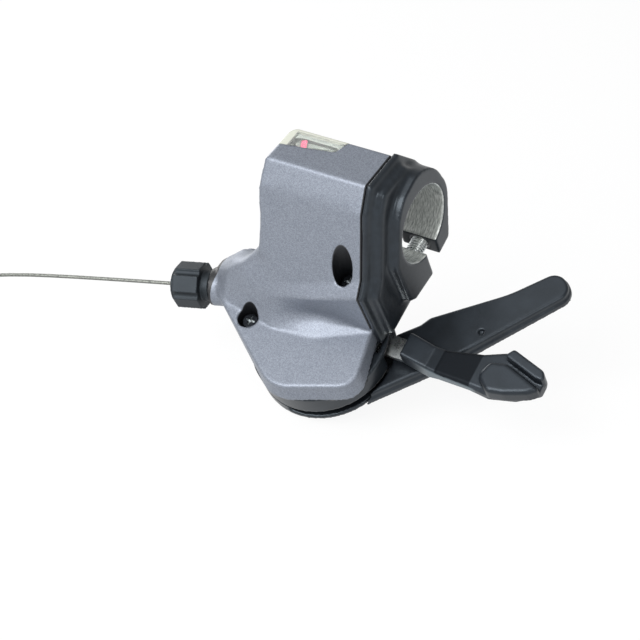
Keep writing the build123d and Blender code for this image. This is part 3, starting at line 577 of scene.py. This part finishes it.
bolt = {
    "middleMm": Vector((0.0, 6.628, -13.009)), "axis": Vector((0.0, 0.891, 0.454)).normalized(),
    "radiusMm": 2.48, "pitchMm": 0.8, "threadMm": 0.43, "rootShare": 0.12, "flankShare": 0.7,
    "tipMm": -9.5, "tipTaperMm": 0.8, "seatMm": 7.0, "headTopMm": 11.6, "headMm": 3.98, "roundMm": 0.4,
    "roundMiddle": 0.3, "socketMm": 1.99, "socketDepthMm": 3.0, "around": 48, "ringsPerPitch": 8,
}


def threadRadius(height, angle):
    # The helix from crest to root and back, running out at the tip
    share = (height / bolt["pitchMm"] - angle / tau) % 1.0
    crest = min(1.0, max(0.0, (abs(2 * share - 1) - bolt["rootShare"]) / bolt["flankShare"]))
    taper = max(0.0, 1 - (height - bolt["tipMm"]) / bolt["tipTaperMm"])
    return bolt["radiusMm"] - bolt["threadMm"] * max(1 - crest, taper)


def socketRadius(angle):
    # A hexagon, from half its width across flats
    return bolt["socketMm"] / cos((angle + pi / 6) % (pi / 3) - pi / 6)


def boltRings(around):
    # Height and radii of each ring of points, from the tip over the head and down into its socket
    stepMm = bolt["pitchMm"] / bolt["ringsPerPitch"]
    threadRings = int((bolt["seatMm"] - bolt["tipMm"]) / stepMm) + 1
    rings = []
    for count in range(threadRings):
        height = bolt["tipMm"] + count * stepMm
        rings.append((height, [threadRadius(height, angle) for angle in around]))
    head, edge, top = bolt["headMm"], bolt["roundMm"], bolt["headTopMm"]
    middle = bolt["roundMiddle"] * edge
    for height, radius in (
        (bolt["seatMm"], head - edge), (bolt["seatMm"] + edge, head),
        (top - edge, head), (top - middle, head - middle), (top, head - edge),
    ):
        rings.append((height, [radius] * len(around)))
    for height in (top, top - bolt["socketDepthMm"]):
        rings.append((height, [socketRadius(angle) for angle in around]))
    return rings, threadRings


def threadedBolt():
    around = [tau * count / bolt["around"] for count in range(bolt["around"])]
    rings, threadRings = boltRings(around)
    side = Vector((1, 0, 0))
    other = bolt["axis"].cross(side)
    shape = bmesh.new()
    loops = []
    for height, radii in rings:
        centre = bolt["middleMm"] + bolt["axis"] * height
        loops.append([
            shape.verts.new((centre + radius * (side * cos(angle) + other * sin(angle))) * mm)
            for angle, radius in zip(around, radii)
        ])
    for number, (low, high) in enumerate(zip(loops, loops[1:])):
        for count in range(len(around)):
            after = (count + 1) % len(around)
            face = shape.faces.new((low[count], low[after], high[after], high[count]))
            face.smooth = number < threadRings - 1
    shape.faces.new(reversed(loops[0]))
    shape.faces.new(loops[-1])
    mesh = bpy.data.meshes.new("threadedClampBolt")
    shape.to_mesh(mesh)
    shape.free()
    piece = bpy.data.objects.new("threadedClampBolt", mesh)
    bpy.context.scene.collection.objects.link(piece)
    mesh.materials.append(materials["zinc_steel"])
    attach(piece, "body")
    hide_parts("clamp_bolt")


threadedBolt()
print("bolt threaded")


# Shift cable: the run to the left, then the rest of its length in a tied coil

cable = {
    "diameterMm": 1.1,
    "exitMm": (-68.416, -13.991, -35.863),
    "routeMm": [(-95.5, -20.1, -39.4), (-124.5, -26.4, -44.0), (-146.1, -30.1, -50.9)],
    "coilCentreMm": (-161.4, -21.7, -55.3),
    "coilMiddleMm": 10.0,
    "rows": 5,
    "columns": 5,
    "pitchMm": 1.12,
    "turns": 25,
    "pointsPerTurn": 16,
    "stepShare": 0.25,                        # share of a turn in which the wire steps over to the next place
    "lengthM": 1.72,
}


def coilPlace(turn):
    # Radius and height of one turn: rows are filled outwards and inwards in turn, from the top down
    row, column = divmod(turn, cable["columns"])
    if row % 2 == 0:
        column = cable["columns"] - 1 - column
    radius = cable["coilMiddleMm"] + (column - (cable["columns"] - 1) / 2) * cable["pitchMm"]
    height = ((cable["rows"] - 1) / 2 - min(row, cable["rows"] - 1)) * cable["pitchMm"]
    return radius, height


def coilPoints():
    points = []
    perTurn = cable["pointsPerTurn"]
    centre = Vector(cable["coilCentreMm"])
    inset = cos(pi / perTurn)                 # the smooth line runs inside its points by this much
    for count in range(cable["turns"] * perTurn):
        turn, place = divmod(count, perTurn)
        share = max(0.0, (place / perTurn - 1 + cable["stepShare"]) / cable["stepShare"])
        here, there = coilPlace(turn), coilPlace(min(turn + 1, cable["turns"] - 1))
        radius = here[0] + (there[0] - here[0]) * (1 - cos(share * pi / 2))
        height = here[1] + (there[1] - here[1]) * sin(share * pi / 2)
        angle = -pi / 2 - tau * place / perTurn
        points.append(centre + Vector((radius / inset * cos(angle), radius / inset * sin(angle), height)))
    return points


def shiftCable():
    line = bpy.data.curves.new("shiftCable", "CURVE")
    line.dimensions = "3D"
    line.bevel_depth = cable["diameterMm"] / 2 * mm
    line.bevel_resolution = 3
    line.resolution_u = 4
    line.use_fill_caps = True
    route = [Vector(cable["exitMm"])] + [Vector(point) for point in cable["routeMm"]] + coilPoints()
    spline = line.splines.new("NURBS")
    spline.points.add(len(route) - 1)
    for point, place in zip(spline.points, route):
        point.co = (*(place * mm), 1.0)
    spline.order_u = 3
    spline.use_endpoint_u = True
    piece = bpy.data.objects.new("shiftCable", line)
    bpy.context.scene.collection.objects.link(piece)
    line.materials.append(materials["cable_steel"])
    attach(piece, "body")
    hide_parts("cable_tail", "cable_coil")


shiftCable()
print("cable laid")


# Studio: white floor, soft lights and the camera

studio = {
    "floorSizeM": 6.0,
    "floorGapMm": 0.5,
    "floor": "#f4f5f6",
    "floorGlow": 0.9,                         # how far the floor is lifted to white, for a faint shadow
    "floorBounce": 0.6,                       # and how far as a source of light from below
    "floorMirror": 0.5,                       # how white the floor is in a mirror
    "roomMirror": 0.35,                       # and the room
    "ambient": 0.3,                           # the room as a source of light
    "lights": {
        "overheadSoftbox": {"from": (-0.15, -0.20, 0.75), "sizeM": 0.7, "watts": 1.6},
        "frontSoftbox": {"from": (-0.18, -0.60, 0.43), "sizeM": 0.65, "watts": 7.4},
        "rightSoftbox": {"from": (0.50, -0.42, 0.25), "sizeM": 0.3, "watts": 1.4},
        "leftSoftbox": {"from": (-0.55, 0.25, 0.12), "sizeM": 0.35, "watts": 1.3},
    },
    "cameraMm": (215.93, -382.45, 241.70),
    "aimMm": (-11.59, -24.91, -23.63),
    "lensMm": 102.9,
    "sensorMm": 36.0,
    "nearestM": 0.01,
}


def whiteForEye(tree, mirrorShare):
    # 1 for rays that the eye or a clear piece sends out, less for a mirror's, 0 for those that carry light
    path = addNode(tree, "LightPath", {})
    mirror = addNode(tree, "Math", {0: path.outputs["Is Glossy Ray"], 1: mirrorShare}, operation="MULTIPLY")
    return together(
        tree, "MAXIMUM", path.outputs["Is Camera Ray"], mirror, path.outputs["Is Transmission Ray"],
    )


def whiteFloor():
    half = studio["floorSizeM"] / 2
    height = cadLow.z - studio["floorGapMm"] * mm
    mesh = bpy.data.meshes.new("floor")
    corners = [(-half, -half, height), (half, -half, height), (half, half, height), (-half, half, height)]
    mesh.from_pydata(corners, [], [(0, 1, 2, 3)])
    floor = bpy.data.objects.new("floor", mesh)
    bpy.context.scene.collection.objects.link(floor)
    # White paper: matt, and lit evenly enough to melt into the background
    material, tree, surface = newMaterial(
        "whitePaperFloor", Roughness=0.9, Base_Color=linear(studio["floor"]),
    )
    glow = addNode(tree, "Emission", {"Color": (1, 1, 1, 1), "Strength": 1.0})
    share = addNode(tree, "MapRange", {
        "Value": whiteForEye(tree, studio["floorMirror"]),
        "To Min": studio["floorBounce"], "To Max": studio["floorGlow"],
    })
    addNode(tree, "MixShader", {
        0: share, 1: surface, 2: glow,
    }, into=tree.nodes["Material Output"].inputs["Surface"])
    mesh.materials.append(material)


def studioWorld():
    world = bpy.data.worlds.new("studio")
    world.use_nodes = True
    tree = world.node_tree
    background = tree.nodes["Background"]
    background.inputs["Color"].default_value = (1, 1, 1, 1)
    addNode(tree, "MapRange", {
        "Value": whiteForEye(tree, studio["roomMirror"]), "To Min": studio["ambient"], "To Max": 1.0,
    }, into=background.inputs["Strength"])
    bpy.context.scene.world = world


def aim(thing, place, target):
    thing.location = place
    thing.rotation_euler = (Vector(target) - Vector(place)).to_track_quat("-Z", "Y").to_euler()


def lightsAndCamera():
    target = Vector(studio["aimMm"]) * mm
    for name, settings in studio["lights"].items():
        lamp = bpy.data.lights.new(name, "AREA")
        lamp.shape = "DISK"
        lamp.size = settings["sizeM"]
        lamp.energy = settings["watts"]
        light = bpy.data.objects.new(name, lamp)
        bpy.context.scene.collection.objects.link(light)
        aim(light, settings["from"], target)
    lens = bpy.data.cameras.new("camera")
    lens.lens = studio["lensMm"]
    lens.sensor_width = studio["sensorMm"]
    lens.clip_start = studio["nearestM"]
    camera = bpy.data.objects.new("camera", lens)
    bpy.context.scene.collection.objects.link(camera)
    aim(camera, Vector(studio["cameraMm"]) * mm, target)
    bpy.context.scene.camera = camera


whiteFloor()
studioWorld()
lightsAndCamera()
bpy.context.scene.view_settings.view_transform = "Standard"
print("studio set")
